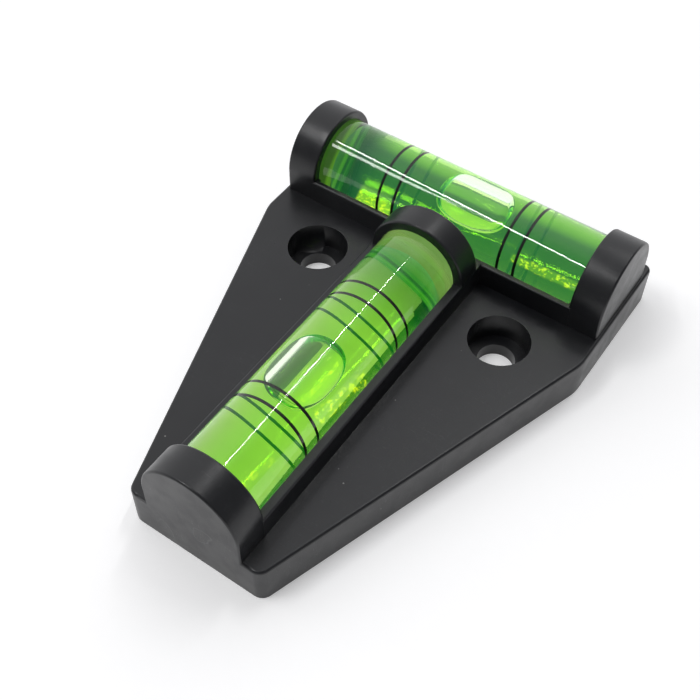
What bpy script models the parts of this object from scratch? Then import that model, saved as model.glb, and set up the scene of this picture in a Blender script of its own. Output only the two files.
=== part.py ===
"""T-shaped bubble level: a moulded housing that holds two spirit vials at right angles.

Run with blender --background --python part.py, or from the text editor.
Metres, +Z up. The base lies on z = 0 and the stem of the T points to -Y.
"""
import math

import bmesh
import bpy
from mathutils import Matrix, Vector

MM = 0.001

# Base plate, seen from above: a narrow front that widens to a broad rear with straight sides.
PLATE_FRONT_WIDTH = 19.6 * MM
PLATE_STRAIGHT_SIDE = 20.8 * MM
PLATE_THICKNESS = 6.1 * MM
PLATE_FRONT_CORNER_RADIUS = 1.6 * MM
PLATE_REAR_CORNER_RADIUS = 1.0 * MM
PLATE_SHOULDER_RADIUS = 6.0 * MM
PLATE_EDGE_ROUND = 0.4 * MM

# Hollow underside of the plate.
ROOF_THICKNESS = 2.2 * MM
SIDE_WALL = 1.8 * MM
POCKET_FRONT_SETBACK = 9.0 * MM
POCKET_CORNER_RADIUS = 0.8 * MM
REAR_TROUGH_WALL = 0.9 * MM

# Counterbored screw holes, set forward of the rear vial's axis.
SCREW_SPACING = 29.2 * MM
SCREW_TO_REAR_VIAL = 14.15 * MM
SCREW_HEAD_RADIUS = 4.2 * MM
SCREW_HOLE_RADIUS = 2.55 * MM
SCREW_SEAT_THICKNESS = 2.0 * MM
SCREW_BOSS_WALL = 1.3 * MM

# Vials: a clear barrel with one closed end, a plug, liquid, a bubble and four ring lines.
VIAL_LENGTH = 47.0 * MM
VIAL_RADIUS = 5.75 * MM
VIAL_WALL = 1.75 * MM
VIAL_END_WALL = 1.5 * MM
VIAL_EDGE_CHAMFER = 0.3 * MM
CHAMBER_SWELL = 0.12 * MM
PLUG_SEAT_STEP = 0.15 * MM
PLUG_BODY_LENGTH = 4.9 * MM
PLUG_NOSE_LENGTH = 1.4 * MM
PLUG_NOSE_STEP = 0.9 * MM
PLUG_CHAMFER = 0.3 * MM

# Where the vials lie: above the base, in from the plate's edges and apart from each other.
VIAL_LIFT = 3.65 * MM
VIAL_END_MARGIN = 1.9 * MM
VIALS_APART = 4.4 * MM
REAR_MARGIN = 3.6 * MM

# Ring lines sit in shallow grooves, as two pairs around the middle of the scale.
LINE_WIDTH = 0.4 * MM
LINE_DEPTH = 0.15 * MM
LINE_PAIR_OUTER = 21.8 * MM
LINE_PAIR_INNER = 16.9 * MM
REAR_SCALE_SHIFT = 0.4 * MM

# Bubbles: long, flat-bellied pockets of air under the top of the chamber.
FRONT_BUBBLE_LENGTH = 11.0 * MM
REAR_BUBBLE_LENGTH = 10.8 * MM
BUBBLE_WIDTH = 6.8 * MM
BUBBLE_BELLY_DEPTH = 3.8 * MM
BUBBLE_WIDEST_DEPTH = 1.6 * MM
BUBBLE_SQUARENESS = 2.5
FRONT_BUBBLE_SHIFT = 3.2 * MM
REAR_BUBBLE_SHIFT = 2.0 * MM
BUBBLE_STOP_GAP = 0.3 * MM

# Troughs with rails along the vials, and the arches over their ends.
RAIL_RISE = 0.1 * MM
RAIL_EDGE_ROUND = 0.25 * MM
FRONT_RAIL_WALL = 1.25 * MM
REAR_RAIL_WALL = 0.75 * MM
FRONT_ARCH_WALL = 1.29 * MM
REAR_ARCH_WALL = 1.09 * MM
ARCH_EDGE_ROUND = 0.3 * MM
ARCH_SIDE_STEP = 0.06 * MM
END_ARCH_LENGTH = 4.65 * MM
MIDDLE_ARCH_LENGTH = 3.95 * MM
MIDDLE_ARCH_GRIP = 1.8 * MM
REAR_ARCH_RECESS = 0.45 * MM

# Clearances.
VIAL_SIDE_GAP = 0.1 * MM
VIAL_END_GAP = 0.1 * MM
SNAP_LIP = 0.5 * MM
SEALED_GAP = 0.04 * MM
CUT_OVERRUN = 1.0 * MM

# Tolerances for joining doubled points and for setting faces flush.
MERGE_DISTANCE = 0.0004 * MM
FLUSH_DISTANCE = 0.004 * MM

# Facets.
ROUND_STEPS = 36
ARCH_STEPS = 48
HOLE_STEPS = 44
CORNER_STEPS = 6
CHAMBER_CURVE_STEPS = 8
BUBBLE_SEGMENTS = 32
BUBBLE_RINGS = 16
SHARP_ANGLE = 50

# Sizes that follow from the sizes above.
CHAMBER_END_RADIUS = VIAL_RADIUS - VIAL_WALL
PLUG_SEAT_RADIUS = CHAMBER_END_RADIUS + PLUG_SEAT_STEP
PLUG_NOSE_RADIUS = CHAMBER_END_RADIUS - PLUG_NOSE_STEP
PLUG_FACE = VIAL_LENGTH - PLUG_BODY_LENGTH
NOSE_FACE = PLUG_FACE - PLUG_NOSE_LENGTH
BORE_RADIUS = VIAL_RADIUS + VIAL_SIDE_GAP
VIAL_BORE_LENGTH = VIAL_LENGTH + 2 * VIAL_END_GAP
FRONT_TROUGH_HALF_WIDTH = BORE_RADIUS + FRONT_ARCH_WALL + ARCH_SIDE_STEP
REAR_TROUGH_HALF_WIDTH = BORE_RADIUS + REAR_ARCH_WALL + ARCH_SIDE_STEP
VIAL_AXIS_HEIGHT = VIAL_LIFT + VIAL_RADIUS
RAIL_TOP = VIAL_AXIS_HEIGHT + RAIL_RISE

# Places that follow, as setbacks from the plate's front edge and then in the part's frame.
FRONT_VIAL_END_SETBACK = VIAL_END_MARGIN + VIAL_LENGTH
MIDDLE_ARCH_SETBACK = FRONT_VIAL_END_SETBACK - MIDDLE_ARCH_GRIP
REAR_VIAL_SETBACK = FRONT_VIAL_END_SETBACK + VIALS_APART + VIAL_RADIUS
SCREW_SETBACK = REAR_VIAL_SETBACK - SCREW_TO_REAR_VIAL
PLATE_LENGTH = REAR_VIAL_SETBACK + VIAL_RADIUS + REAR_MARGIN
PLATE_REAR_WIDTH = VIAL_LENGTH + 2 * VIAL_END_MARGIN
FRONT_Y = -PLATE_LENGTH / 2
SHOULDER_Y = PLATE_LENGTH / 2 - PLATE_STRAIGHT_SIDE
REAR_VIAL_Y = FRONT_Y + REAR_VIAL_SETBACK
REAR_ARCH_FACE_X = PLATE_REAR_WIDTH / 2 - REAR_ARCH_RECESS

BODY_BLACK = ("housing black plastic", (0.045, 0.046, 0.050, 1.0), 0.42)
CLEAR_ACRYLIC = ("clear acrylic", (0.80, 0.95, 0.70, 1.0), 0.05)
PLUG_ACRYLIC = ("plug acrylic", (0.42, 0.55, 0.20, 1.0), 0.10)
GREEN_LIQUID = ("green liquid", (0.35, 0.80, 0.08, 1.0), 0.05)
AIR = ("air bubble", (0.85, 0.92, 0.85, 1.0), 0.02)
LINE_BLACK = ("line black", (0.010, 0.012, 0.010, 1.0), 0.35)


def clear_scene():
    for item in list(bpy.data.objects):
        bpy.data.objects.remove(item, do_unlink=True)


def new_collection(name, hidden=False):
    collection = bpy.data.collections.new(name)
    bpy.context.scene.collection.children.link(collection)
    collection.hide_render = hidden
    return collection


def plain_material(finish):
    name, colour, roughness = finish
    material = bpy.data.materials.get(name)
    if material:
        return material
    material = bpy.data.materials.new(name)
    material.use_nodes = True
    shader = material.node_tree.nodes["Principled BSDF"]
    shader.inputs["Base Color"].default_value = colour
    shader.inputs["Roughness"].default_value = roughness
    shader.inputs["Metallic"].default_value = 0.0
    material.diffuse_color = colour
    return material


def clean(mesh):
    """Join doubled points and turn every face outward."""
    shape = bmesh.new()
    shape.from_mesh(mesh)
    bmesh.ops.remove_doubles(shape, verts=shape.verts, dist=MERGE_DISTANCE)
    bmesh.ops.recalc_face_normals(shape, faces=shape.faces)
    shape.to_mesh(mesh)
    shape.free()


def baked(item):
    """Replace an object by a plain mesh of what its modifiers or its curve make."""
    bpy.context.view_layer.update()
    graph = bpy.context.evaluated_depsgraph_get()
    mesh = bpy.data.meshes.new_from_object(item.evaluated_get(graph))
    clean(mesh)
    plain = bpy.data.objects.new(item.name + "_plain", mesh)
    for home in item.users_collection:
        home.objects.link(plain)
    name = item.name
    bpy.data.objects.remove(item, do_unlink=True)
    plain.name = name
    return plain


def round_edges(item, width, chosen, segments=2):
    """Round the sharp edges for which chosen(first, last) is true of the edge's two ends."""
    shape = bmesh.new()
    shape.from_mesh(item.data)
    limit = math.radians(SHARP_ANGLE)
    edges = [
        edge for edge in shape.edges
        if edge.calc_face_angle(0) > limit and chosen(edge.verts[0].co, edge.verts[1].co)
    ]
    bmesh.ops.bevel(
        shape, geom=edges, offset=width, offset_type="OFFSET", segments=segments, profile=0.5, affect="EDGES"
    )
    shape.to_mesh(item.data)
    shape.free()
    clean(item.data)


def make_flush(item, y):
    """Set the corners that lie on a plane across Y to exactly that plane."""
    for spot in item.data.vertices:
        if abs(spot.co.y - y) < FLUSH_DISTANCE:
            spot.co.y = y


def rounded_outline(corners):
    """Points of a closed outline: each corner is (x, y, radius), rounded by an arc."""
    points = []
    count = len(corners)
    for index, (x, y, radius) in enumerate(corners):
        here = Vector((x, y))
        back = (Vector(corners[index - 1][:2]) - here).normalized()
        ahead = (Vector(corners[(index + 1) % count][:2]) - here).normalized()
        if radius == 0:
            points.append(here)
            continue
        half = back.angle(ahead) / 2
        reach = radius / math.tan(half)
        centre = here + (back + ahead).normalized() * radius / math.sin(half)
        start = here + back * reach - centre
        turn = (here + ahead * reach - centre).angle_signed(start)
        for step in range(CORNER_STEPS + 1):
            spin = Matrix.Rotation(turn * step / CORNER_STEPS, 2)
            points.append(centre + spin @ start)
    return points


def prism(name, points, bottom, top, home):
    """Upright prism from a flat outline, as a filled 2D curve with an extrude."""
    curve = bpy.data.curves.new(name, "CURVE")
    curve.dimensions = "2D"
    curve.fill_mode = "BOTH"
    curve.extrude = (top - bottom) / 2
    spline = curve.splines.new("POLY")
    spline.points.add(len(points) - 1)
    for spot, (x, y) in zip(spline.points, points):
        spot.co = (x, y, 0.0, 1.0)
    spline.use_cyclic_u = True
    item = bpy.data.objects.new(name, curve)
    home.objects.link(item)
    item = baked(item)
    item.data.transform(Matrix.Translation((0, 0, (top + bottom) / 2)))
    return item


def box(name, low, high, home):
    mesh = bpy.data.meshes.new(name)
    shape = bmesh.new()
    bmesh.ops.create_cube(shape, size=1.0)
    size = [top - bottom for top, bottom in zip(high, low)]
    bmesh.ops.scale(shape, vec=size, verts=shape.verts)
    bmesh.ops.translate(shape, vec=[(a + b) / 2 for a, b in zip(high, low)], verts=shape.verts)
    shape.to_mesh(mesh)
    shape.free()
    item = bpy.data.objects.new(name, mesh)
    home.objects.link(item)
    return item


def cylinder(name, radius, start, direction, length, home, steps=ROUND_STEPS):
    """Cylinder that starts at a point and runs along a direction."""
    mesh = bpy.data.meshes.new(name)
    shape = bmesh.new()
    bmesh.ops.create_cone(shape, cap_ends=True, segments=steps, radius1=radius, radius2=radius, depth=length)
    bmesh.ops.translate(shape, vec=(0, 0, length / 2), verts=shape.verts)
    turn = Vector(direction).to_track_quat("Z", "Y").to_matrix()
    bmesh.ops.rotate(shape, matrix=turn, verts=shape.verts)
    bmesh.ops.translate(shape, vec=start, verts=shape.verts)
    shape.to_mesh(mesh)
    shape.free()
    item = bpy.data.objects.new(name, mesh)
    home.objects.link(item)
    return item


def boolean(target, tool, operation):
    cut = target.modifiers.new(operation.lower() + " " + tool.name, "BOOLEAN")
    cut.operation = operation
    cut.solver = "EXACT"
    cut.object = tool
    tool.display_type = "WIRE"
    tool.hide_render = True


def turned(name, profile, closed, home, steps=ROUND_STEPS):
    """Turned shape: (radius, height) points spun around Z by a Screw modifier."""
    mesh = bpy.data.meshes.new(name)
    shape = bmesh.new()
    spots = [shape.verts.new((radius, 0, height)) for radius, height in profile]
    for first, second in zip(spots, spots[1:]):
        shape.edges.new((first, second))
    if closed:
        shape.edges.new((spots[-1], spots[0]))
    shape.to_mesh(mesh)
    shape.free()
    item = bpy.data.objects.new(name, mesh)
    screw = item.modifiers.new("spin", "SCREW")
    screw.axis = "Z"
    screw.angle = 2 * math.pi
    screw.steps = steps
    screw.render_steps = steps
    screw.use_merge_vertices = True
    screw.merge_threshold = MERGE_DISTANCE
    home.objects.link(item)
    return baked(item)


def finish_part(item, finish, smooth_angle=30):
    item.data.materials.clear()
    item.data.materials.append(plain_material(finish))
    item.data.shade_smooth()
    item.data.set_sharp_from_angle(angle=math.radians(smooth_angle))
    return item


def plate_outline():
    front = PLATE_FRONT_WIDTH / 2
    rear = PLATE_REAR_WIDTH / 2
    half = [
        (front, FRONT_Y, PLATE_FRONT_CORNER_RADIUS),
        (rear, SHOULDER_Y, PLATE_SHOULDER_RADIUS),
        (rear, -FRONT_Y, PLATE_REAR_CORNER_RADIUS),
    ]
    other = [(-x, y, radius) for x, y, radius in reversed(half)]
    return rounded_outline(half + other)


def pocket_outline(side):
    """Hollow beside the stem: inside the plate's side wall and clear of both troughs."""
    slope = (PLATE_REAR_WIDTH - PLATE_FRONT_WIDTH) / 2 / (SHOULDER_Y - FRONT_Y)
    inset = SIDE_WALL * math.hypot(1, slope)
    near = FRONT_Y + POCKET_FRONT_SETBACK
    far = REAR_VIAL_Y - REAR_TROUGH_HALF_WIDTH - REAR_TROUGH_WALL
    straight = PLATE_REAR_WIDTH / 2 - SIDE_WALL
    near_x = PLATE_FRONT_WIDTH / 2 - inset + slope * (near - FRONT_Y)
    bend_y = FRONT_Y + (straight - PLATE_FRONT_WIDTH / 2 + inset) / slope
    corners = [
        (FRONT_TROUGH_HALF_WIDTH, near),
        (near_x, near),
        (straight, bend_y),
        (straight, far),
        (FRONT_TROUGH_HALF_WIDTH, far),
    ]
    if side < 0:
        corners = [(-x, y) for x, y in reversed(corners)]
    return rounded_outline([(x, y, POCKET_CORNER_RADIUS) for x, y in corners])


def arch(name, radius, centre, direction, length, tools):
    """Block with a half-round top over a vial's end, its foot sunk in the plate."""
    across = Vector(direction).cross(Vector((0, 0, 1)))
    foot = PLATE_THICKNESS - ROOF_THICKNESS / 2 - VIAL_AXIS_HEIGHT
    points = [(-radius, foot), (radius, foot)]
    for step in range(ARCH_STEPS + 1):
        angle = math.pi * step / ARCH_STEPS
        points.append((radius * math.cos(angle), radius * math.sin(angle)))
    item = prism(name, points, 0, length, tools)
    item.data.transform(Matrix((
        (across.x, 0, direction[0], centre[0]),
        (across.y, 0, direction[1], centre[1]),
        (0, 1, 0, VIAL_AXIS_HEIGHT),
        (0, 0, 0, 1),
    )))
    clean(item.data)
    level = PLATE_THICKNESS - ROOF_THICKNESS / 4
    round_edges(item, ARCH_EDGE_ROUND, lambda first, last: max(first.z, last.z) > level)
    return item


def arches(tools):
    front = (0, FRONT_Y)
    middle = (0, FRONT_Y + MIDDLE_ARCH_SETBACK)
    radius = FRONT_TROUGH_HALF_WIDTH - ARCH_SIDE_STEP
    front_arch = arch("front arch", radius, front, (0, 1, 0), END_ARCH_LENGTH, tools)
    make_flush(front_arch, FRONT_Y)
    yield front_arch
    yield arch("middle arch", radius, middle, (0, 1, 0), MIDDLE_ARCH_LENGTH, tools)
    radius = REAR_TROUGH_HALF_WIDTH - ARCH_SIDE_STEP
    for side, word in ((-1, "left"), (1, "right")):
        face = (side * REAR_ARCH_FACE_X, REAR_VIAL_Y)
        yield arch(word + " arch", radius, face, (-side, 0, 0), END_ARCH_LENGTH, tools)


def trough_blocks(tools):
    low = PLATE_THICKNESS - ROOF_THICKNESS / 2
    rear_front = REAR_VIAL_Y - REAR_TROUGH_HALF_WIDTH
    lap = END_ARCH_LENGTH - ARCH_EDGE_ROUND
    stem = box(
        "stem trough",
        (-FRONT_TROUGH_HALF_WIDTH, FRONT_Y + lap, low),
        (FRONT_TROUGH_HALF_WIDTH, rear_front + REAR_TROUGH_WALL / 2, RAIL_TOP),
        tools,
    )
    bar = box(
        "bar trough",
        (-REAR_ARCH_FACE_X + lap, rear_front, low),
        (REAR_ARCH_FACE_X - lap, REAR_VIAL_Y + REAR_TROUGH_HALF_WIDTH, RAIL_TOP),
        tools,
    )
    level = RAIL_TOP - RAIL_RISE

    def along_stem(first, last):
        return min(first.z, last.z) > level and first.x * last.x > 0

    def along_bar(first, last):
        return min(first.z, last.z) > level and first.x * last.x < 0

    round_edges(stem, RAIL_EDGE_ROUND, along_stem)
    round_edges(bar, RAIL_EDGE_ROUND, along_bar)
    return [stem, bar]


def channel(name, start, direction, half_width, window_start, window_end, tools):
    """Tools that cut a vial's bore, the snap slot under it and the wide slot between its arches."""
    along = Vector(direction)
    across = along.cross(Vector((0, 0, 1)))
    bore = cylinder(name + " bore", BORE_RADIUS, start, direction, VIAL_BORE_LENGTH, tools)
    parts = [bore]
    snap = BORE_RADIUS - SNAP_LIP
    spans = (
        ("snap slot", 0, VIAL_BORE_LENGTH, snap, VIAL_AXIS_HEIGHT - VIAL_RADIUS / 2),
        ("window", window_start, window_end, half_width, RAIL_TOP + CUT_OVERRUN),
    )
    for word, begin, end, width, top in spans:
        first = Vector(start) + along * begin - across * width
        last = Vector(start) + along * end + across * width
        low = [min(a, b) for a, b in zip(first, last)]
        high = [max(a, b) for a, b in zip(first, last)]
        low[2] = -CUT_OVERRUN
        high[2] = top
        parts.append(box(name + " " + word, low, high, tools))
    return parts


def vial_channels(tools):
    bore_setback = VIAL_END_MARGIN - VIAL_END_GAP
    start = (0, FRONT_Y + bore_setback, VIAL_AXIS_HEIGHT)
    near = END_ARCH_LENGTH + ARCH_EDGE_ROUND - bore_setback
    far = MIDDLE_ARCH_SETBACK - ARCH_EDGE_ROUND - bore_setback
    half = FRONT_TROUGH_HALF_WIDTH - FRONT_RAIL_WALL
    stem = channel("stem", start, (0, 1, 0), half, near, far, tools)
    start = (-VIAL_BORE_LENGTH / 2, REAR_VIAL_Y, VIAL_AXIS_HEIGHT)
    near = END_ARCH_LENGTH + ARCH_EDGE_ROUND - REAR_ARCH_FACE_X + VIAL_BORE_LENGTH / 2
    half = REAR_TROUGH_HALF_WIDTH - REAR_RAIL_WALL
    bar = channel("bar", start, (1, 0, 0), half, near, VIAL_BORE_LENGTH - near, tools)
    return stem + bar


def screw_hole_tools(tools):
    for side in (-1, 1):
        spot = (side * SCREW_SPACING / 2, FRONT_Y + SCREW_SETBACK)
        seat = (*spot, SCREW_SEAT_THICKNESS)
        below = (*spot, -CUT_OVERRUN)
        depth = PLATE_THICKNESS - SCREW_SEAT_THICKNESS + CUT_OVERRUN
        through = SCREW_SEAT_THICKNESS + 2 * CUT_OVERRUN
        yield cylinder("screw head", SCREW_HEAD_RADIUS, seat, (0, 0, 1), depth, tools, HOLE_STEPS)
        yield cylinder("screw shank", SCREW_HOLE_RADIUS, below, (0, 0, 1), through, tools, HOLE_STEPS)


def pocket_tools(tools):
    for side in (-1, 1):
        top = PLATE_THICKNESS - ROOF_THICKNESS
        pocket = prism("pocket", pocket_outline(side), -CUT_OVERRUN, top, tools)
        spot = (side * SCREW_SPACING / 2, FRONT_Y + SCREW_SETBACK, -2 * CUT_OVERRUN)
        boss_radius = SCREW_HEAD_RADIUS + SCREW_BOSS_WALL
        height = top + 3 * CUT_OVERRUN
        boss = cylinder("screw boss", boss_radius, spot, (0, 0, 1), height, tools, HOLE_STEPS)
        boolean(pocket, boss, "DIFFERENCE")
        yield baked(pocket)


def build_housing(home, tools):
    housing = prism("housing", plate_outline(), 0, PLATE_THICKNESS, home)
    level = PLATE_THICKNESS / 2
    round_edges(housing, PLATE_EDGE_ROUND, lambda first, last: min(first.z, last.z) > level)
    make_flush(housing, FRONT_Y)
    for item in trough_blocks(tools) + list(arches(tools)):
        boolean(housing, item, "UNION")
    cutters = list(pocket_tools(tools)) + vial_channels(tools) + list(screw_hole_tools(tools))
    for item in cutters:
        boolean(housing, item, "DIFFERENCE")
    housing = baked(housing)
    return finish_part(housing, BODY_BLACK)


def chamber_profile(gap):
    """Half profile of the chamber from its plug end to its closed end, swollen in the middle."""
    points = []
    for step in range(CHAMBER_CURVE_STEPS + 1):
        share = 1 - step / CHAMBER_CURVE_STEPS
        height = VIAL_END_WALL + (PLUG_FACE - VIAL_END_WALL) * share
        swell = CHAMBER_SWELL * (1 - (2 * share - 1) ** 2)
        points.append((CHAMBER_END_RADIUS + swell - gap, height))
    points[0] = (points[0][0], PLUG_FACE - gap)
    points[-1] = (points[-1][0], VIAL_END_WALL + gap)
    return points


def line_heights(middle):
    """Heights of a vial's four ring lines around the middle of its scale."""
    for spread in (-LINE_PAIR_OUTER, -LINE_PAIR_INNER, LINE_PAIR_INNER, LINE_PAIR_OUTER):
        yield middle + spread / 2


def build_barrel(name, scale_middle, home):
    chamfer = VIAL_EDGE_CHAMFER
    groove = LINE_WIDTH / 2 + SEALED_GAP
    profile = [(0, 0), (VIAL_RADIUS - chamfer, 0), (VIAL_RADIUS, chamfer)]
    for height in line_heights(scale_middle):
        floor = VIAL_RADIUS - LINE_DEPTH - SEALED_GAP
        profile += [(VIAL_RADIUS, height - groove), (floor, height - groove)]
        profile += [(floor, height + groove), (VIAL_RADIUS, height + groove)]
    profile += [(VIAL_RADIUS, VIAL_LENGTH - chamfer), (VIAL_RADIUS - chamfer, VIAL_LENGTH)]
    profile += [(PLUG_SEAT_RADIUS, VIAL_LENGTH), (PLUG_SEAT_RADIUS, PLUG_FACE)]
    profile += chamber_profile(0)
    profile += [(0, VIAL_END_WALL)]
    return finish_part(turned(name, profile, False, home), CLEAR_ACRYLIC)


def build_plug(name, home):
    outer = PLUG_SEAT_RADIUS - SEALED_GAP
    face = PLUG_FACE + SEALED_GAP
    profile = [
        (0, NOSE_FACE),
        (PLUG_NOSE_RADIUS - PLUG_CHAMFER, NOSE_FACE),
        (PLUG_NOSE_RADIUS, NOSE_FACE + PLUG_CHAMFER),
        (PLUG_NOSE_RADIUS, face),
        (outer, face),
        (outer, VIAL_LENGTH - PLUG_CHAMFER),
        (outer - PLUG_CHAMFER, VIAL_LENGTH),
        (0, VIAL_LENGTH),
    ]
    return finish_part(turned(name, profile, False, home), PLUG_ACRYLIC)


def build_line(name, height, home):
    inner = VIAL_RADIUS - LINE_DEPTH
    profile = [
        (inner, height - LINE_WIDTH / 2),
        (VIAL_RADIUS, height - LINE_WIDTH / 2),
        (VIAL_RADIUS, height + LINE_WIDTH / 2),
        (inner, height + LINE_WIDTH / 2),
    ]
    return finish_part(turned(name, profile, True, home), LINE_BLACK)


def bubble_travel(length):
    """Lowest and highest place of a bubble's middle along its vial."""
    reach = length / 2 + BUBBLE_STOP_GAP
    return VIAL_END_WALL + reach, NOSE_FACE - reach


def build_liquid(name, bubble_length, home, tools):
    """Liquid with a gallery along its top, as long as the bubble's travel."""
    gap = SEALED_GAP
    nose = PLUG_NOSE_RADIUS + gap
    profile = [(0, NOSE_FACE - gap), (nose, NOSE_FACE - gap), (nose, PLUG_FACE - gap)]
    profile += chamber_profile(gap)
    profile += [(0, VIAL_END_WALL + gap)]
    liquid = turned(name, profile, False, home)
    lowest, highest = bubble_travel(bubble_length)
    reach = bubble_length / 2 + BUBBLE_STOP_GAP / 2
    middle = CHAMBER_END_RADIUS - BUBBLE_WIDEST_DEPTH
    low = middle - (BUBBLE_BELLY_DEPTH - BUBBLE_WIDEST_DEPTH) - BUBBLE_STOP_GAP / 2
    half = BUBBLE_WIDTH / 2 + BUBBLE_STOP_GAP / 2
    gallery = box(
        name + " gallery",
        (-half, low, lowest - reach),
        (half, VIAL_RADIUS, highest + reach),
        tools,
    )
    round_edges(gallery, BUBBLE_WIDEST_DEPTH, lambda first, last: max(first.y, last.y) < CHAMBER_END_RADIUS)
    boolean(liquid, gallery, "DIFFERENCE")
    return finish_part(baked(liquid), GREEN_LIQUID)


def build_bubble(name, length, home, tools):
    """Squared-off ellipsoid, trimmed by the top of the chamber, with its middle at the origin."""
    mesh = bpy.data.meshes.new(name)
    shape = bmesh.new()
    bmesh.ops.create_uvsphere(shape, u_segments=BUBBLE_SEGMENTS, v_segments=BUBBLE_RINGS, radius=1.0)
    for spot in shape.verts:
        across = math.hypot(spot.co.x, spot.co.y)
        total = across ** BUBBLE_SQUARENESS + abs(spot.co.z) ** BUBBLE_SQUARENESS
        spot.co /= total ** (1 / BUBBLE_SQUARENESS)
    belly = BUBBLE_BELLY_DEPTH - BUBBLE_WIDEST_DEPTH
    bmesh.ops.scale(shape, vec=(BUBBLE_WIDTH / 2, belly, length / 2), verts=shape.verts)
    middle = CHAMBER_END_RADIUS - BUBBLE_WIDEST_DEPTH
    bmesh.ops.translate(shape, vec=(0, middle, 0), verts=shape.verts)
    shape.to_mesh(mesh)
    shape.free()
    bubble = bpy.data.objects.new(name, mesh)
    home.objects.link(bubble)
    radius = CHAMBER_END_RADIUS - SEALED_GAP
    trim = cylinder(name + " trim", radius, (0, 0, -length), (0, 0, 1), 2 * length, tools)
    boolean(bubble, trim, "INTERSECT")
    return finish_part(baked(bubble), AIR)


def vial_frame(start, direction):
    """Frame whose +Z runs along the vial from its closed end and whose +Y points up."""
    along = Vector(direction)
    up = Vector((0, 0, 1))
    side = up.cross(along)
    frame = Matrix((side, up, along)).transposed().to_4x4()
    frame.translation = start
    return frame


def build_vial(word, frame, scale_middle, bubble_length, bubble_height, home, tools):
    fixed = [
        build_barrel(word + "_vial_barrel", scale_middle, home),
        build_plug(word + "_vial_plug", home),
        build_liquid(word + "_vial_liquid", bubble_length, home, tools),
    ]
    for number, height in enumerate(line_heights(scale_middle), start=1):
        fixed.append(build_line(f"{word}_vial_line_{number}", height, home))
    for item in fixed:
        item.matrix_world = frame
    bubble = build_bubble(word + "_vial_bubble", bubble_length, home, tools)
    bubble.matrix_world = frame @ Matrix.Translation((0, 0, bubble_height))


def build_vials(home, tools):
    middle = VIAL_LENGTH / 2
    frame = vial_frame((0, FRONT_Y + VIAL_END_MARGIN, VIAL_AXIS_HEIGHT), (0, 1, 0))
    height = middle - FRONT_BUBBLE_SHIFT
    build_vial("front", frame, middle, FRONT_BUBBLE_LENGTH, height, home, tools)
    frame = vial_frame((middle, REAR_VIAL_Y, VIAL_AXIS_HEIGHT), (-1, 0, 0))
    height = middle - REAR_BUBBLE_SHIFT
    build_vial("rear", frame, middle - REAR_SCALE_SHIFT, REAR_BUBBLE_LENGTH, height, home, tools)


def main():
    clear_scene()
    home = new_collection("t_bubble_level")
    tools = new_collection("cutters", hidden=True)
    build_housing(home, tools)
    build_vials(home, tools)


main()
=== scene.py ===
"""Looks of the T-shaped bubble level: a moulded housing with two spirit vials, on a pale table."""

import math

import bmesh
import bpy
from mathutils import Matrix, Vector


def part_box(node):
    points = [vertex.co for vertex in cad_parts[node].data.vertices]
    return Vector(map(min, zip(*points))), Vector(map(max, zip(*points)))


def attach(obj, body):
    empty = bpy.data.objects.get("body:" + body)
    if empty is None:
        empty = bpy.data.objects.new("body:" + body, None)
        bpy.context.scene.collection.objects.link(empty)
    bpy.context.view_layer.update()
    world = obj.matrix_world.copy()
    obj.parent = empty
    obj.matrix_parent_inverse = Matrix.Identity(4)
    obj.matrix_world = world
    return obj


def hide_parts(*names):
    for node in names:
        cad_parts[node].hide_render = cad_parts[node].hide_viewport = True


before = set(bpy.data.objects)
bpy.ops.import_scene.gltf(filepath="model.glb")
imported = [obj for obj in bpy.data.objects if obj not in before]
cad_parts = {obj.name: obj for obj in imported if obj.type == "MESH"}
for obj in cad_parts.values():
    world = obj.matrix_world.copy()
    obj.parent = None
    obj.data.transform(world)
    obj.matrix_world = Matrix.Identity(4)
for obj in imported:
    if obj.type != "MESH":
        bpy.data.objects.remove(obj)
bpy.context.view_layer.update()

MM = 0.001

# Vial sizes that the boxes of the CAD nodes don't give.
END_WALL = 1.5 * MM
END_ROUND = 0.35 * MM
STRAIGHT_MARGIN = 0.05 * MM
CHAMBER_RADIUS = 4.0 * MM
CHAMBER_SWELL = 0.12 * MM
CHAMBER_DOME = 0.5 * MM
SPIRIT_LAP = 0.3 * MM
NOSE_LENGTH = 1.4 * MM
NOSE_RADIUS = 3.1 * MM
PLUG_SEAT_RADIUS = 4.11 * MM
PLUG_CHAMFER = 0.3 * MM
PLUG_FACE_GAP = 0.02 * MM
PLUG_END_SUNK = 0.05 * MM
RINGS = 4
RING_SUNK = 0.012 * MM
RING_DEPTH = 0.14 * MM
RING_SOFTNESS = 0.05 * MM
BUBBLE_WIDEST_DEPTH = 1.6 * MM
BUBBLE_WIDTH = 6.8 * MM
BUBBLE_SQUARENESS = 2.5
BUBBLE_CLEARANCE = 0.04 * MM

# How finely the round pieces are cut.
TURNED_STEPS = 144
CHAMBER_STEPS = 24
RING_CORNER_STEPS = 3
BUBBLE_SEGMENTS = 96
BUBBLE_RINGS = 64

# Angles in degrees: an edge sharper than this stays sharp when its piece is shaded smooth.
HOUSING_CREASE = 38
SKIN_CREASE = 60
FILLING_CREASE = 35
NO_CREASE = 180

# Refractive indices. The liquid's and the air's are relative to what surrounds them.
MOULDED_IOR = 1.48
ACRYLIC_IOR = 1.49
LIQUID_IOR = 0.915
AIR_IOR = 0.735
ABSORPTION_DENSITY = 300.0

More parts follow.
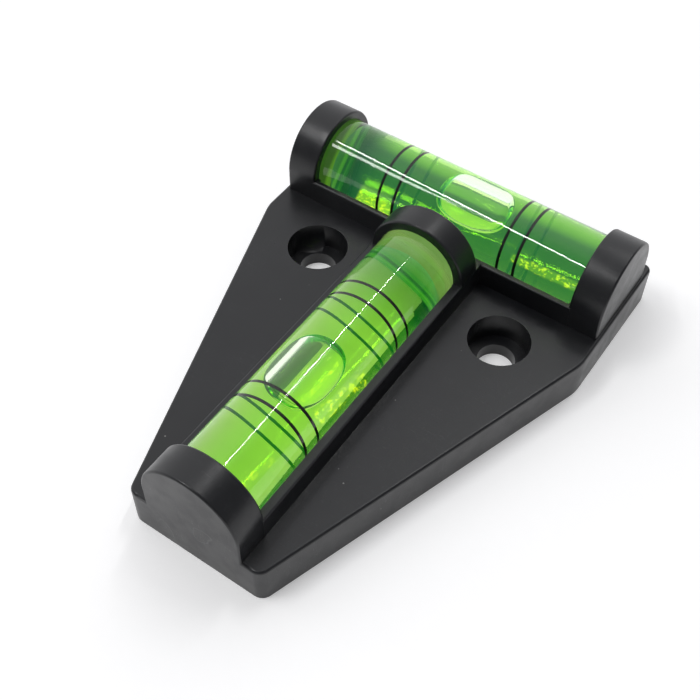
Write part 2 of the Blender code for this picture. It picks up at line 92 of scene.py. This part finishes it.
# Where a vial's materials change: heights from its axis for the barrel, the painted glow and the painted
# glints, a side distance for the painted rim light, and distances from the closed end for the rest, which
# place the painted shade at the liquid's end and the plug's painted bands.
BARREL_UNDERSIDE = (-3.4 * MM, -1.2 * MM)
GLOW_TOP = (-3.6 * MM, -0.9 * MM)
GLINT_TOP = (-2.5 * MM, -2.0 * MM)
RIM = (-4.05 * MM, -3.7 * MM)
GLOW_REACH = (9 * MM, 39 * MM)
# Painted shade: the liquid's glow and colour darken over these lengths towards the plug end.
DIM_END = (37 * MM, 41.5 * MM)
SHADED_END = (33 * MM, 41.5 * MM)
# The plug's painted light and shade: a glowing body, a painted dark band, a glowing seat and end, and two
# painted bright arcs. The cloud shares say how much of this painted light each side of the plug shows.
PLUG_BODY = (42.2 * MM, 42.6 * MM)
PLUG_DARK = (43.5 * MM, 43.8 * MM)
PLUG_SEAT = (44.1 * MM, 44.5 * MM)
PLUG_END = (44.9 * MM, 45.5 * MM)
PLUG_FAR_WALL = (0.8 * MM, 1.8 * MM)
FACE_ARC = 43.2 * MM
SEAT_ARC = 44.6 * MM
ARC_WIDTH = 0.22 * MM
NEAR_CLOUD = 0.32
FAR_CLOUD = 0.88

# The bubble's outline, painted shade with a faint painted glow: where its skin turns from the eye, and how
# much of it shows.
OUTLINE_FACING = (0.72, 0.94)
OUTLINE_SHARE = 0.8

# Painted glints of lamp light on the lower side of each liquid: middle, half width, start and end in
# millimetres, slant, glint glow and spark, all of them painted light. Each fades over the same length at
# both ends.
GLINT_FADE = 0.6
FRONT_GLINTS = [(0.62, 0.35, 5.0, 11.0, 0.062, 0.10, 0.35), (-0.2, 0.65, 18.5, 28.5, 0.062, 0.12, 0.65)]
REAR_GLINTS = [(-1.58, 0.42, 4.3, 15.0, 0.0, 0.35, 0.8), (-0.35, 1.1, 33.6, 39.8, 0.06, 0.75, 0.85),
               (-1.6, 0.9, 34.5, 39.6, 0.0, 0.22, 0.0)]

# Softening of the moulding's outward edges.
EDGE_SOFTNESS = 0.16 * MM
EDGE_SEGMENTS = 2
SOFTEN_ANGLE = math.radians(50)
FLAT_ANGLE = math.radians(0.5)
MERGE_DISTANCE = 0.001 * MM

# The camera, as fitted to the photograph.
CAMERA_PLACE = (0.051148, -0.077182, 0.121197)
CAMERA_RIGHT = (0.82096, 0.57096, 0.00609)
CAMERA_DOWN = (0.45046, -0.64106, -0.62139)
CAMERA_AHEAD = (-0.35089, 0.51288, -0.78348)
CAMERA_LENS = 58.35
CAMERA_SENSOR = 36.0
CAMERA_CLIP = 5 * MM

# The room: its lamps hang at one height, and it is bright to one side.
LAMP_HEIGHT = 1.0
BRIGHT_SIDE = (-0.75, 0.60, 0.25)
ROOM_FADE = (0.05, 0.65)
TABLE_HALF_WIDTH = 1.5

WHITE = (1.0, 1.0, 1.0, 1.0)


class Signal:
    """A socket of a recipe. An expression on it adds one Math node for each operator."""

    def __init__(self, recipe, socket):
        self.recipe = recipe
        self.socket = socket

    def maths(self, operation, first, second=None):
        values = {0: first}
        if second is not None:
            values[1] = second
        return self.recipe.node("Math", {"operation": operation}, values)

    def __add__(self, other):
        return self.maths("ADD", self, other)

    def __radd__(self, other):
        return self.maths("ADD", other, self)

    def __sub__(self, other):
        return self.maths("SUBTRACT", self, other)

    def __rsub__(self, other):
        return self.maths("SUBTRACT", other, self)

    def __mul__(self, other):
        return self.maths("MULTIPLY", self, other)

    def __rmul__(self, other):
        return self.maths("MULTIPLY", other, self)

    def __abs__(self):
        return self.maths("ABSOLUTE", self)

    def most(self, other):
        return self.maths("MAXIMUM", self, other)

    def rise(self, start, end):
        """0 below start, 1 above end and smooth between them."""
        settings = {"interpolation_type": "SMOOTHSTEP"}
        return self.recipe.node("MapRange", settings, {0: self, 1: start, 2: end, 3: 0.0, 4: 1.0})

    def bump_at(self, middle, width):
        """1 at middle, falling smoothly to 0 at width from it."""
        return 1 - abs(self - middle).rise(0.0, width)

    def part(self, name):
        return Signal(self.recipe, self.socket.node.outputs[name])


class Recipe:
    """One material or world, made node by node."""

    def __init__(self, owner):
        self.owner = owner
        owner.use_nodes = True
        self.tree = owner.node_tree
        self.tree.nodes.clear()

    def node(self, kind, settings=None, values=None, out=0):
        """Add a node: first its settings, then the values or links of its sockets."""
        node = self.tree.nodes.new("ShaderNode" + kind)
        for name, value in (settings or {}).items():
            setattr(node, name, value)
        for name, value in (values or {}).items():
            if isinstance(value, Signal):
                self.tree.links.new(value.socket, node.inputs[name])
            else:
                node.inputs[name].default_value = value
        return Signal(self, node.outputs[out]) if node.outputs else node

    def place(self, scale=(1.0, 1.0, 1.0), shift=(0.0, 0.0, 0.0)):
        """The piece's own coordinates in metres, scaled and shifted."""
        spot = self.node("TexCoord").part("Object")
        values = {"Vector": spot, "Scale": scale, "Location": shift}
        return self.node("Mapping", {"vector_type": "POINT"}, values)

    def axes(self):
        """The piece's own X, Y and Z. In a vial they are its side, up and along."""
        spot = self.node("TexCoord").part("Object")
        split = self.node("SeparateXYZ", None, {0: spot})
        return [split.part(name) for name in "XYZ"]

    def noise(self, per_metre, detail, roughness, scale=(1.0, 1.0, 1.0), shift=(0.0, 0.0, 0.0)):
        spot = self.place(scale, shift)
        values = {"Vector": spot, "Scale": per_metre, "Detail": detail, "Roughness": roughness}
        return self.node("TexNoise", {"noise_dimensions": "3D"}, values)

    def blend(self, factor, first, second):
        """Mix two colours."""
        return self.node("Mix", {"data_type": "RGBA"}, {0: factor, 6: first, 7: second}, out=2)

    def bump(self, height, distance, strength, normal=None):
        values = {"Strength": strength, "Distance": distance, "Height": height}
        if normal is not None:
            values["Normal"] = normal
        return self.node("Bump", None, values)

    def show(self, surface, volume=None):
        values = {"Surface": surface}
        if volume is not None:
            values["Volume"] = volume
        self.node("OutputMaterial", None, values)
        return self.owner


def recipe(name):
    return Recipe(bpy.data.materials.new(name))


def rgb(red, green, blue):
    return (red, green, blue, 1.0)


def moulded_black(name, dark, light):
    """Satin black moulding: fine spark-eroded grain, hairline scratches, a little dust."""
    r = recipe(name)
    cloud = r.noise(90.0, 3.0, 0.55)
    grain = r.noise(5200.0, 2.0, 0.6)
    ripple = r.noise(420.0, 2.0, 0.5, shift=(0.3, 0.1, 0.7))
    hair_a = r.noise(160.0, 1.0, 0.5, scale=(1.0, 26.0, 1.0))
    hair_b = r.noise(190.0, 1.0, 0.5, scale=(22.0, 3.0, 1.0), shift=(0.2, 0.5, 0.1))
    scratch = hair_a.bump_at(0.63, 0.006).most(hair_b.bump_at(0.64, 0.006)) * cloud.rise(0.42, 0.62)
    specks = r.node("TexVoronoi", {"feature": "F1"}, {"Vector": r.place(), "Scale": 420.0})
    dust = (1 - specks.rise(0.03, 0.055)) * r.noise(260.0, 0.0, 0.5, shift=(0.9, 0.4, 0.2)).rise(0.60, 0.66)
    colour = r.blend(cloud.rise(0.3, 0.7), rgb(*dark), rgb(*light))
    colour = r.blend(scratch * 0.35, colour, rgb(0.085, 0.087, 0.092))
    colour = r.blend(dust * 0.7, colour, rgb(0.30, 0.30, 0.29))
    rough = 0.27 + 0.08 * ripple.rise(0.3, 0.7) + 0.05 * grain + 0.15 * dust - 0.06 * scratch
    normal = r.bump(grain * 0.55 + ripple * 0.45, 0.012 * MM, 0.55)
    normal = r.bump(0 - scratch, 0.006 * MM, 0.5, normal)
    values = {"Base Color": colour, "Roughness": rough, "Normal": normal, "IOR": MOULDED_IOR}
    return r.show(r.node("BsdfPrincipled", None, values))


def lamp_way(r, glass):
    """Glass for the eye, and plain see-through for the rays that bring lamp and floor light."""
    path = r.node("LightPath")
    straight = path.part("Is Shadow Ray").most(path.part("Is Diffuse Ray"))
    clear = r.node("BsdfTransparent", None, {"Color": WHITE})
    return r.node("MixShader", None, {0: straight, 1: glass, 2: clear})


def barrel_acrylic():
    """Clear acrylic skin, rippled and scuffed along its top, and pitted underneath."""
    r = recipe("clear acrylic barrel")
    up = r.axes()[1]
    under = 1 - up.rise(*BARREL_UNDERSIDE)
    ripple = r.noise(900.0, 2.0, 0.5, scale=(1.0, 1.0, 0.45))
    scuff = r.noise(2600.0, 3.0, 0.65, scale=(0.8, 0.8, 1.0), shift=(0.4, 0.2, 0.0))
    patch = r.noise(210.0, 2.0, 0.5, shift=(0.7, 0.1, 0.3)).rise(0.40, 0.62)
    rough = 0.012 + 0.05 * scuff.rise(0.5, 0.75) * patch + 0.03 * under
    height = ripple * 0.28 + scuff * (0.22 + 0.75 * patch + 0.4 * under)
    values = {
        "Base Color": rgb(0.985, 1.0, 0.985), "Roughness": rough, "Normal": r.bump(height, 0.006 * MM, 0.6),
        "IOR": ACRYLIC_IOR, "Transmission Weight": 1.0,
    }
    return r.show(lamp_way(r, r.node("BsdfPrincipled", None, values)))


def level_liquid(name, top_glow, near_glow, far_glow, rim_glow, end_shade_tint, glints):
    """Yellow-green spirit that takes up red and blue. Painted light: it glows, most on its lower side,
    with painted lamp glints and painted shade towards its plug end.
    """
    r = recipe(name)
    side, up, along = r.axes()
    cloud = r.noise(140.0, 2.0, 0.5)
    # Painted light: a faint glow on the upper side, a stronger glow on the lower side, and a painted rim
    # light at the side.
    below = 1 - up.rise(*GLOW_TOP)
    reach = (along + (cloud - 0.5) * 8 * MM).rise(*GLOW_REACH)
    glow = r.blend(below, rgb(*top_glow), r.blend(reach, rgb(*near_glow), rgb(*far_glow)))
    glow = r.blend(1 - side.rise(*RIM), glow, rgb(*rim_glow))
    # Painted shade: the glow dims towards the plug end.
    glow = r.blend(0.85 * along.rise(*DIM_END), glow, rgb(0.002, 0.03, 0.012))
    # Painted glints: lamp light painted in thin bands on the lower side, with painted sparkle.
    sparkle_noise = r.noise(3800.0, 2.0, 0.7, scale=(1.0, 1.0, 0.4))
    for middle, half_width, start, end, slant, glint_glow, spark in glints:
        across = abs(side - middle * MM + (along - start * MM) * slant) + (cloud - 0.5) * 0.3 * MM
        band = 1 - across.rise(0.4 * half_width * MM, half_width * MM)
        fade_in = along.rise(start * MM, (start + GLINT_FADE) * MM)
        fade_out = 1 - along.rise((end - GLINT_FADE) * MM, end * MM)
        lit = band * (fade_in * fade_out) * (1 - up.rise(*GLINT_TOP))
        glow = r.blend(lit * glint_glow, glow, rgb(0.42, 0.70, 0.02))
        glow = r.blend(lit * sparkle_noise.rise(0.50, 0.64) * spark, glow, rgb(1.30, 1.15, 0.03))
    # Painted shade: the liquid is tinted darker towards the plug end.
    shaded_tint = r.blend(along.rise(*SHADED_END), WHITE, rgb(*end_shade_tint))
    values = {
        "Base Color": shaded_tint, "Roughness": 0.0, "IOR": LIQUID_IOR, "Transmission Weight": 1.0,
        "Emission Color": glow, "Emission Strength": 1.0,
    }
    stain = {"Color": rgb(0.74, 0.975, 0.03), "Density": ABSORPTION_DENSITY}
    volume = r.node("VolumeAbsorption", None, stain)
    return r.show(lamp_way(r, r.node("BsdfPrincipled", None, values)), volume)


def trapped_air():
    """Air whose skin is painted with a dark green outline where it is seen edge on: painted shade with a
    faint painted glow.
    """
    r = recipe("trapped air")
    film = r.noise(500.0, 2.0, 0.5)
    values = {
        "Base Color": WHITE, "Roughness": 0.0, "IOR": AIR_IOR, "Transmission Weight": 1.0,
        "Normal": r.bump(film, 0.002 * MM, 0.3),
    }
    air = r.node("BsdfPrincipled", None, values)
    # Painted shade and glow: the dark green outline with a faint emission.
    values = {
        "Base Color": rgb(0.01, 0.09, 0.05), "Roughness": 0.3,
        "Emission Color": rgb(0.015, 0.12, 0.06), "Emission Strength": 1.0,
    }
    outline = r.node("BsdfPrincipled", None, values)
    edge = r.node("LayerWeight", None, {"Blend": 0.5}).part("Facing").rise(*OUTLINE_FACING)
    return r.show(lamp_way(r, r.node("MixShader", None, {0: edge * OUTLINE_SHARE, 1: air, 2: outline})))


def plug_acrylic(name, far_wall, face_glow, shade_band, seat_glow, end_glow, highlight_arc):
    """Plug of clear acrylic that clouds towards its end. The cloudy part carries painted light and shade:
    glowing bands, a painted dark band and painted bright arcs on its far wall.
    """
    r = recipe(name)
    side, up, along = r.axes()
    cloud = r.noise(600.0, 2.0, 0.5)
    far = (side * far_wall[0] + up * far_wall[1]).rise(*PLUG_FAR_WALL)
    body = along.rise(*PLUG_BODY)
    dark = along.rise(*PLUG_DARK)
    seat = along.rise(*PLUG_SEAT)
    end = along.rise(*PLUG_END)
    # Painted light and shade: glowing bands, a dark band of painted shade and painted bright arcs.
    arcs = along.bump_at(FACE_ARC, ARC_WIDTH).most(along.bump_at(SEAT_ARC, ARC_WIDTH) * 0.7)
    glow = r.blend(dark, rgb(*face_glow), rgb(*shade_band))
    glow = r.blend(seat, glow, rgb(*seat_glow))
    glow = r.blend(end, glow, rgb(*end_glow))
    glow = r.blend(arcs * cloud.rise(0.25, 0.5), glow, rgb(*highlight_arc))
    # Painted light: a softer glow on the near side.
    near_glow = r.blend(cloud, rgb(*end_glow), rgb(*[0.7 * part for part in end_glow]))
    values = {
        "Base Color": rgb(0.02, 0.05, 0.02), "Roughness": 0.3, "Normal": r.bump(cloud, 0.01 * MM, 0.4),
        "Emission Color": r.blend(far, near_glow, glow), "Emission Strength": 1.0,
    }
    cloudy_painted_light = r.node("BsdfPrincipled", None, values)
    values = {"Base Color": WHITE, "Roughness": 0.0, "IOR": 1.0, "Transmission Weight": 1.0}
    clear = r.node("BsdfPrincipled", None, values)
    share = seat * (1 - far) * NEAR_CLOUD + body * far * FAR_CLOUD
    stain = {"Color": rgb(0.80, 0.96, 0.72), "Density": ABSORPTION_DENSITY}
    volume = r.node("VolumeAbsorption", None, stain)
    return r.show(lamp_way(r, r.node("MixShader", None, {0: share, 1: clear, 2: cloudy_painted_light})), volume)


def ring_ink():
    """Black ink, slightly uneven."""
    r = recipe("ring ink")
    edge = r.noise(3000.0, 2.0, 0.6)
    colour = r.blend(edge.rise(0.4, 0.8), rgb(0.0015, 0.0025, 0.0015), rgb(0.006, 0.010, 0.006))
    values = {
        "Base Color": colour, "Roughness": 0.5 + 0.2 * edge, "Specular IOR Level": 0.15,
        "Normal": r.bump(edge, 0.004 * MM, 0.4),
    }
    return r.show(r.node("BsdfPrincipled", None, values))


def eye_path(r):
    """1 for rays that the camera sends, and for those that leave gloss or pass through glass."""
    path = r.node("LightPath")
    return path.part("Is Camera Ray").most(path.part("Is Glossy Ray")).most(path.part("Is Transmission Ray"))


def pale_table():
    """White matt table: the eye sees it lit up to white, and the object's shadow stays on it."""
    r = recipe("pale table")
    fibre = r.noise(700.0, 3.0, 0.6)
    colour = r.blend(fibre, rgb(0.86, 0.86, 0.86), rgb(0.90, 0.90, 0.90))
    values = {"Base Color": colour, "Roughness": 0.9, "Specular IOR Level": 0.0}
    board = r.node("BsdfPrincipled", None, values)
    lift = r.node("Emission", None, {"Color": r.blend(eye_path(r), rgb(0, 0, 0), rgb(0.30, 0.30, 0.30))})
    return r.show(r.node("AddShader", None, {0: board, 1: lift}))


def mesh_piece(name, mesh, matrix, material):
    piece = bpy.data.objects.new(name, mesh)
    bpy.context.scene.collection.objects.link(piece)
    piece.matrix_world = matrix
    mesh.materials.append(material)
    return piece


def smooth(mesh, crease):
    mesh.shade_smooth()
    mesh.set_sharp_from_angle(angle=math.radians(crease))


def turned(name, profile, matrix, material, crease, closed=False):
    """Spin (radius, height) points around Z into a closed skin."""
    shape = bmesh.new()
    turn = [2 * math.pi * step / TURNED_STEPS for step in range(TURNED_STEPS)]
    rings = []
    for radius, height in profile:
        if radius == 0:
            rings.append([shape.verts.new((0, 0, height))])
            continue
        rings.append([shape.verts.new((radius * math.cos(a), radius * math.sin(a), height)) for a in turn])
    pairs = list(zip(rings, rings[1:]))
    if closed:
        pairs.append((rings[-1], rings[0]))
    for first, second in pairs:
        for step in range(TURNED_STEPS):
            ahead = (step + 1) % TURNED_STEPS
            low = [first[0]] if len(first) == 1 else [first[step], first[ahead]]
            high = [second[0]] if len(second) == 1 else [second[ahead], second[step]]
            if len(low) + len(high) > 2:
                shape.faces.new(low + high)
    bmesh.ops.recalc_face_normals(shape, faces=shape.faces)
    mesh = bpy.data.meshes.new(name)
    shape.to_mesh(mesh)
    shape.free()
    smooth(mesh, crease)
    return mesh_piece(name, mesh, matrix, material)


def quarter(radius, height, size, start, end, steps=4):
    """Points of a rounded corner about (radius, height), from one angle to another in degrees."""
    for step in range(steps + 1):
        angle = math.radians(start + (end - start) * step / steps)
        yield radius + size * math.cos(angle), height + size * math.sin(angle)


def vial_place(word, along):
    """Frame, length and radius of a vial. Its +Z runs from the closed end, and its +Y points up."""
    low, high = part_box(word + "_vial_barrel")
    along = Vector(along)
    up = Vector((0, 0, 1))
    matrix = Matrix((up.cross(along), up, along)).transposed().to_4x4()
    size = high - low
    length = abs(size.dot(along))
    matrix.translation = (low + high) / 2 - along * length / 2
    return matrix, length, size.z / 2


def height_in(matrix, node):
    """Lowest and highest place of a CAD node along a vial."""
    low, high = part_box(node)
    back = matrix.inverted()
    first, last = sorted(((back @ low).z, (back @ high).z))
    return first, last


def barrel_skin(word, matrix, length, radius, material):
    straight = [END_ROUND + STRAIGHT_MARGIN, length - END_ROUND - STRAIGHT_MARGIN]
    profile = [(0, 0)]
    profile += quarter(radius - END_ROUND, END_ROUND, END_ROUND, -90, 0)
    profile += [(radius, height) for height in straight]
    profile += quarter(radius - END_ROUND, length - END_ROUND, END_ROUND, 0, 90)
    profile += [(0, length)]
    return turned(word + "_barrel_skin", profile, matrix, material, SKIN_CREASE)


def spirit(word, matrix, plug_face, material):
    """The liquid fills the chamber from the closed end's dome to the plug and around its nose."""
    profile = [(0, END_WALL)]
    profile += quarter(CHAMBER_RADIUS - CHAMBER_DOME, END_WALL + CHAMBER_DOME, CHAMBER_DOME, -90, 0)
    for step in range(1, CHAMBER_STEPS):
        share = step / CHAMBER_STEPS
        height = END_WALL + CHAMBER_DOME + (plug_face - END_WALL - 2 * CHAMBER_DOME) * share
        swell = CHAMBER_SWELL * (1 - (2 * share - 1) ** 2)
        profile.append((CHAMBER_RADIUS + swell, height))
    profile.append((CHAMBER_RADIUS, plug_face + SPIRIT_LAP))
    profile.append((0, plug_face + SPIRIT_LAP))
    return turned(word + "_spirit", profile, matrix, material, FILLING_CREASE)


def plug(word, matrix, length, nose_face, plug_face, material):
    """Plug with a nose that reaches into the chamber."""
    profile = [(0, nose_face)]
    profile += quarter(NOSE_RADIUS - PLUG_CHAMFER, nose_face + PLUG_CHAMFER, PLUG_CHAMFER, -90, 0)
    profile += [(radius, plug_face + PLUG_FACE_GAP) for radius in (NOSE_RADIUS, PLUG_SEAT_RADIUS)]
    end = length - PLUG_END_SUNK
    profile += quarter(PLUG_SEAT_RADIUS - PLUG_CHAMFER, end - PLUG_CHAMFER, PLUG_CHAMFER, 0, 90)
    profile += [(0, end)]
    return turned(word + "_plug_body", profile, matrix, material, FILLING_CREASE)


def ring(word, number, matrix, radius, material):
    """Ink band just under the barrel's skin, with softly rounded edges."""
    first, last = height_in(matrix, f"{word}_vial_line_{number}")
    outer = radius - RING_SUNK
    soft = RING_SOFTNESS
    profile = [(outer - RING_DEPTH, first), (outer - RING_DEPTH, last)]
    profile += quarter(outer - soft, last - soft, soft, 90, 0, RING_CORNER_STEPS)
    profile += quarter(outer - soft, first + soft, soft, 0, -90, RING_CORNER_STEPS)
    return turned(f"{word}_ring_{number}", profile, matrix, material, SKIN_CREASE, closed=True)


def bubble(word, matrix, material):
    """Long pocket of air, squared off at its ends and pressed to the top of the chamber."""
    node = word + "_vial_bubble"
    first, last = height_in(matrix, node)
    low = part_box(node)[0]
    middle = (first + last) / 2
    bottom = low.z - matrix.translation.z
    limit = CHAMBER_RADIUS - BUBBLE_CLEARANCE
    centre = CHAMBER_RADIUS - BUBBLE_WIDEST_DEPTH
    shape = bmesh.new()
    bmesh.ops.create_uvsphere(shape, u_segments=BUBBLE_SEGMENTS, v_segments=BUBBLE_RINGS, radius=1.0)
    for spot in shape.verts:
        across = math.hypot(spot.co.x, spot.co.y)
        total = across ** BUBBLE_SQUARENESS + abs(spot.co.z) ** BUBBLE_SQUARENESS
        spot.co /= total ** (1 / BUBBLE_SQUARENESS)
        x, y, z = spot.co
        spot.co = Vector((x * BUBBLE_WIDTH / 2, y * (centre - bottom), z * (last - first) / 2))
        spot.co += Vector((0, centre, middle))
        out = math.hypot(spot.co.x, spot.co.y)
        if out > limit:
            spot.co.x *= limit / out
            spot.co.y *= limit / out
    mesh = bpy.data.meshes.new(word + "_bubble_film")
    shape.to_mesh(mesh)
    shape.free()
    smooth(mesh, NO_CREASE)
    return mesh_piece(word + "_bubble_film", mesh, matrix, material)


def stand_for(piece, node, body):
    """Let a piece ride on a body and stand in for a CAD node."""
    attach(piece, body)
    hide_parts(node)


def dress_vial(word, along, finishes):
    matrix, length, radius = vial_place(word, along)
    nose_face = height_in(matrix, word + "_vial_plug")[0]
    plug_face = nose_face + NOSE_LENGTH
    skin = barrel_skin(word, matrix, length, radius, finishes["barrel"])
    stand_for(skin, word + "_vial_barrel", "level")
    filling = spirit(word, matrix, plug_face, finishes["liquid " + word])
    stand_for(filling, word + "_vial_liquid", "level")
    stopper = plug(word, matrix, length, nose_face, plug_face, finishes["plug " + word])
    stand_for(stopper, word + "_vial_plug", "level")
    for number in range(1, RINGS + 1):
        band = ring(word, number, matrix, radius, finishes["line"])
        stand_for(band, f"{word}_vial_line_{number}", "level")
    pocket = bubble(word, matrix, finishes["bubble"])
    stand_for(pocket, word + "_vial_bubble", word + "_bubble")


def outward(edge):
    """True for an edge that stands out, as on a corner of a box, and is sharp enough to need softening."""
    return len(edge.link_faces) == 2 and edge.is_convex and edge.calc_face_angle() > SOFTEN_ANGLE


def housing_skin(material, edge_highlight_material):
    """The moulding with its outward edges softened and painted paler as a highlight, and its round faces
    shaded smooth.
    """
    shape = bmesh.new()
    shape.from_mesh(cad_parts["housing"].data)
    bmesh.ops.remove_doubles(shape, verts=shape.verts, dist=MERGE_DISTANCE)
    bmesh.ops.dissolve_limit(shape, angle_limit=FLAT_ANGLE, verts=shape.verts, edges=shape.edges)
    sharp = [edge for edge in shape.edges if outward(edge)]
    highlight_faces = bmesh.ops.bevel(
        shape, geom=sharp, offset=EDGE_SOFTNESS, offset_type="OFFSET", segments=EDGE_SEGMENTS,
        profile=0.5, affect="EDGES", clamp_overlap=True,
    )
    # Painted highlight: the softened edges get the paler edge material.
    for face in highlight_faces["faces"]:
        face.material_index = 1
    mesh = bpy.data.meshes.new("housing_skin")
    shape.to_mesh(mesh)
    shape.free()
    smooth(mesh, HOUSING_CREASE)
    skin = mesh_piece("housing_skin", mesh, Matrix(), material)
    mesh.materials.append(edge_highlight_material)
    weight = skin.modifiers.new("even shading", "WEIGHTED_NORMAL")
    weight.keep_sharp = True
    return skin


def dress_housing():
    body = moulded_black(
        "moulded black", dark=(0.0080, 0.0085, 0.0100), light=(0.0110, 0.0116, 0.0135))
    # The paler edge material is a painted highlight along the softened edges.
    edge = moulded_black(
        "black edge painted highlight", dark=(0.022, 0.023, 0.025), light=(0.036, 0.037, 0.040))
    skin = housing_skin(body, edge)
    stand_for(skin, "housing", "level")


def lay_table():
    mesh = bpy.data.meshes.new("table")
    shape = bmesh.new()
    bmesh.ops.create_grid(shape, x_segments=4, y_segments=4, size=TABLE_HALF_WIDTH)
    shape.to_mesh(mesh)
    shape.free()
    table = mesh_piece("table", mesh, Matrix(), pale_table())


def tube(name, first, last, width, power):
    """Long lamp above the table, from one point to another, that shines straight down."""
    data = bpy.data.lights.new(name, "AREA")
    data.shape = "RECTANGLE"
    start, end = Vector((*first, LAMP_HEIGHT)), Vector((*last, LAMP_HEIGHT))
    data.size, data.size_y = width, (end - start).length
    data.energy = power
    item = bpy.data.objects.new(name, data)
    bpy.context.scene.collection.objects.link(item)
    along = (end - start).normalized()
    up = Vector((0, 0, 1))
    matrix = Matrix((along.cross(up), along, up)).transposed().to_4x4()
    matrix.translation = (start + end) / 2
    item.matrix_world = matrix


def light_studio():
    """A room bright to the left and behind and dim to the right, with two tubes and a pale strip."""
    tube("rear tube", (-0.030, 0.722), (0.12, 0.27), width=0.026, power=1.65)
    tube("left tube", (-0.505, -0.13), (-0.19, -0.60), width=0.040, power=2.4)
    tube("pale strip", (-0.576, -0.39), (-0.423, -0.556), width=0.14, power=1.25)
    world = bpy.data.worlds.new("studio")
    bpy.context.scene.world = world
    r = Recipe(world)
    way = r.node("TexCoord").part("Generated")
    side = r.node("VectorMath", {"operation": "DOT_PRODUCT"}, {0: way, 1: BRIGHT_SIDE}).part("Value")
    room = r.blend(side.rise(*ROOM_FADE), rgb(0.22, 0.22, 0.23), rgb(1.0, 1.0, 1.02))
    eye = r.node("LightPath").part("Is Camera Ray")
    sky = r.node("Background", None, {"Color": r.blend(eye, room, WHITE), "Strength": 1.0})
    r.node("OutputWorld", None, {"Surface": sky})


def set_camera():
    data = bpy.data.cameras.new("camera")
    data.sensor_width = CAMERA_SENSOR
    data.lens = CAMERA_LENS
    data.clip_start = CAMERA_CLIP
    camera = bpy.data.objects.new("camera", data)
    bpy.context.scene.collection.objects.link(camera)
    right, down, ahead = Vector(CAMERA_RIGHT), Vector(CAMERA_DOWN), Vector(CAMERA_AHEAD)
    matrix = Matrix((right, -down, -ahead)).transposed().to_4x4()
    matrix.translation = CAMERA_PLACE
    camera.matrix_world = matrix
    bpy.context.scene.camera = camera


def main():
    set_camera()
    light_studio()
    lay_table()
    dress_housing()
    finishes = {
        "barrel": barrel_acrylic(),
        # The liquids' glows and rim light are painted light, and their end tints painted shade.
        "liquid front": level_liquid(
            "front spirit", top_glow=(0.0, 0.03, 0.004), near_glow=(0.005, 0.13, 0.002),
            far_glow=(0.0, 0.11, 0.012), rim_glow=(0.0, 0.03, 0.004), end_shade_tint=(0.60, 0.80, 0.80),
            glints=FRONT_GLINTS),
        "liquid rear": level_liquid(
            "rear spirit", top_glow=(0.008, 0.07, 0.035), near_glow=(0.02, 0.10, 0.02),
            far_glow=(0.010, 0.08, 0.03), rim_glow=(0.15, 0.34, 0.02), end_shade_tint=(0.90, 0.95, 0.95),
            glints=REAR_GLINTS),
        # The plugs' glows and arcs are painted light, and their dark bands painted shade.
        "plug front": plug_acrylic(
            "front plug", far_wall=(0.55, -0.83), face_glow=(0.10, 0.30, 0.10),
            shade_band=(0.02, 0.10, 0.045), seat_glow=(0.10, 0.28, 0.08),
            end_glow=(0.22, 0.34, 0.09), highlight_arc=(0.24, 0.46, 0.09)),
        "plug rear": plug_acrylic(
            "rear plug", far_wall=(-0.7, -0.7), face_glow=(0.02, 0.08, 0.03),
            shade_band=(0.010, 0.04, 0.02), seat_glow=(0.14, 0.30, 0.03),
            end_glow=(0.05, 0.11, 0.02), highlight_arc=(0.08, 0.20, 0.07)),
        "bubble": trapped_air(),
        "line": ring_ink(),
    }
    dress_vial("front", (0, 1, 0), finishes)
    dress_vial("rear", (-1, 0, 0), finishes)
    bpy.context.scene.view_settings.view_transform = "Standard"


main()
